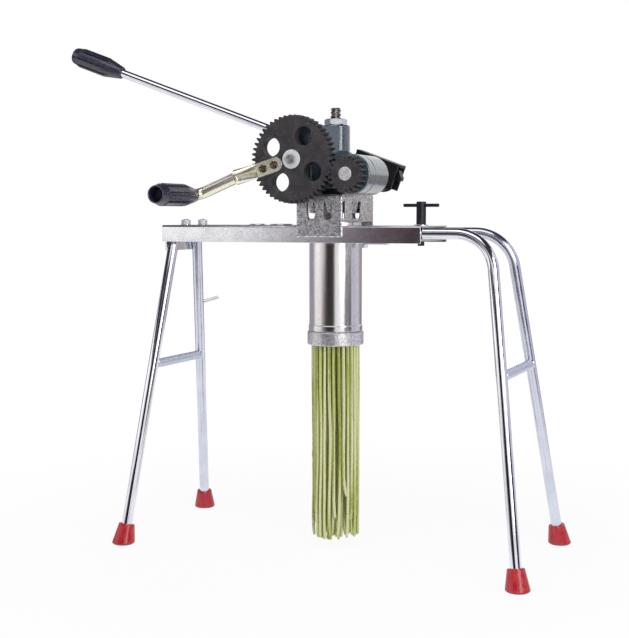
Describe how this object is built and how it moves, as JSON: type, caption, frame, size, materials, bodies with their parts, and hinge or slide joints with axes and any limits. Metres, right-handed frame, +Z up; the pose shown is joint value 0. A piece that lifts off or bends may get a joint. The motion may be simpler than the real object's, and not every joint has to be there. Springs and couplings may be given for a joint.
{
  "type": "hand cranked noodle press",
  "caption": "Hand-cranked press on a legged bench: gears and a worm drive a screw piston down a steel barrel, a ratchet lever helps, and noodles leave through a die.",
  "frame": {"origin": "floor point under the barrel's axis", "axes": "+X along the bench to the sliding legs, +Y to the ratchet lever's side, +Z up"},
  "size_m": [0.8487, 0.3779, 0.7942],
  "materials": {
    "zinc_sheet": "folded sheet with a mottled zinc coat",
    "chrome_tube": "bright chrome plate",
    "red_rubber": "smooth red rubber",
    "zinc_fastener": "bright zinc plate",
    "black_steel": "blackened steel, satin",
    "black_iron": "blackened, speckled, worn at the teeth",
    "slate_paint": "slate blue machine enamel, semi-gloss",
    "bronze": "turned bronze",
    "bright_steel": "turned and oiled",
    "stainless": "polished stainless steel",
    "gold_zinc": "yellow zinc plate",
    "black_plastic": "moulded, fluted",
    "seal": "moulded ring",
    "dough": "soft green dough, matt"
  },
  "bodies": {
    "bench": {"bench_channel": "zinc_sheet", "left_leg_front": "chrome_tube", "left_leg_rear": "chrome_tube", "left_brace": "chrome_tube", "left_feet": "red_rubber", "hanging_peg": "chrome_tube", "left_cross_plate": "zinc_sheet", "left_frame_bolts": "zinc_fastener", "clamp_strap": "zinc_sheet", "catch_post": "zinc_fastener", "head_bracket": "zinc_sheet", "base_plate": "black_steel", "housing_bolts": "zinc_fastener", "gear_housing": "slate_paint", "front_bearing_cap": "slate_paint", "front_bush": "bronze", "rear_bush": "bronze", "thrust_washers": "bronze", "thrust_rings": "bronze", "tower_nut": "zinc_fastener", "guide_key": "bright_steel", "gear_stud": "bright_steel", "gear_stud_bolt": "zinc_fastener", "gear_washer": "zinc_fastener", "clamp_washer": "zinc_fastener"},
    "right_legs": {"right_leg_front": "chrome_tube", "right_leg_rear": "chrome_tube", "right_brace": "chrome_tube", "right_feet": "red_rubber"},
    "clamp_screw": {"clamp_screw": "black_steel", "clamp_bar": "black_steel"},
    "catch": {"barrel_catch": "zinc_sheet"},
    "barrel": {"barrel": "stainless"},
    "die": {"die_disc": "stainless", "noodle_bundle": "dough"},
    "cap": {"die_cap": "stainless"},
    "crank": {"drive_gear": "black_iron", "gear_bush": "bronze", "crank_screws": "zinc_fastener", "crank_arm": "gold_zinc", "crank_spindle": "bright_steel", "spindle_nut": "zinc_fastener"},
    "crank_grip": {"crank_grip": "black_plastic"},
    "worm": {"worm_shaft": "bright_steel", "pinion": "black_iron", "ratchet_wheel": "black_steel", "shaft_nut": "zinc_fastener"},
    "wheel": {"worm_wheel": "bronze", "lead_nut": "bronze"},
    "piston": {"lead_screw": "bright_steel", "piston": "stainless", "piston_seal": "seal"},
    "lever": {"ratchet_head": "black_steel", "ratchet_cover": "black_steel", "cover_screws": "zinc_fastener", "lever_rod": "chrome_tube", "lever_grip": "black_plastic"},
    "pawl": {"ratchet_pawl": "black_steel"}
  },
  "joints": [
    {"name": "crank_turn", "type": "hinge", "parent": "bench", "child": "crank", "pos_m": [-0.03164, -0.085, 0.5912], "axis": [0, -1, 0], "range_deg": [0, 86400]},
    {"name": "worm_spin", "type": "hinge", "parent": "bench", "child": "worm", "pos_m": [0.053, -0.02, 0.569], "axis": [0, -1, 0], "range_deg": [-216001, 1]},
    {"name": "wheel_spin", "type": "hinge", "parent": "bench", "child": "wheel", "pos_m": [0, 0, 0.569], "axis": [0, 0, 1], "range_deg": [-9001, 1]},
    {"name": "piston_slide", "type": "slide", "parent": "bench", "child": "piston", "axis": [0, 0, 1], "range_m": [0, 0.1501]},
    {"name": "crank_grip_spin", "type": "hinge", "parent": "crank", "child": "crank_grip", "pos_m": [-0.18339, -0.18, 0.53894], "axis": [0, -1, 0], "continuous": true},
    {"name": "lever_swing", "type": "hinge", "parent": "bench", "child": "lever", "pos_m": [0.053, 0.055, 0.569], "axis": [0, 1, 0], "range_deg": [-18, 90]},
    {"name": "pawl_rock", "type": "hinge", "parent": "lever", "child": "pawl", "pos_m": [0.07556, 0.054, 0.58254], "axis": [0, 1, 0], "range_deg": [-18, 4]},
    {"name": "right_leg_slide", "type": "slide", "parent": "bench", "child": "right_legs", "axis": [1, 0, 0], "range_m": [-0.04, 0.06]},
    {"name": "clamp_turn", "type": "hinge", "parent": "bench", "child": "clamp_screw", "pos_m": [0.137, 0, 0.5], "axis": [0, 0, 1], "range_deg": [0, 720]},
    {"name": "catch_swing", "type": "hinge", "parent": "bench", "child": "catch", "pos_m": [0.051, -0.012, 0.467], "axis": [0, 0, 1], "range_deg": [0, 105]},
    {"name": "barrel_turn", "type": "hinge", "parent": "bench", "child": "barrel", "pos_m": [0, 0, 0.4], "axis": [0, 0, 1], "range_deg": [0, 90]},
    {"name": "cap_turn", "type": "hinge", "parent": "die", "child": "cap", "pos_m": [0, 0, 0.32], "axis": [0, 0, -1], "range_deg": [0, 1200]},
    {"name": "die_drop", "type": "slide", "parent": "barrel", "child": "die", "axis": [0, 0, -1], "range_m": [0, 0.0101]}
  ],
  "couplings": [
    {"joint": "worm_spin", "follows": "crank_turn", "ratio": -2.5},
    {"joint": "wheel_spin", "follows": "crank_turn", "ratio": -0.10417},
    {"joint": "piston_slide", "follows": "crank_turn", "m_per_rad": 0.000099472},
    {"joint": "die_drop", "follows": "cap_turn", "m_per_rad": 0.00047746}
  ]
}
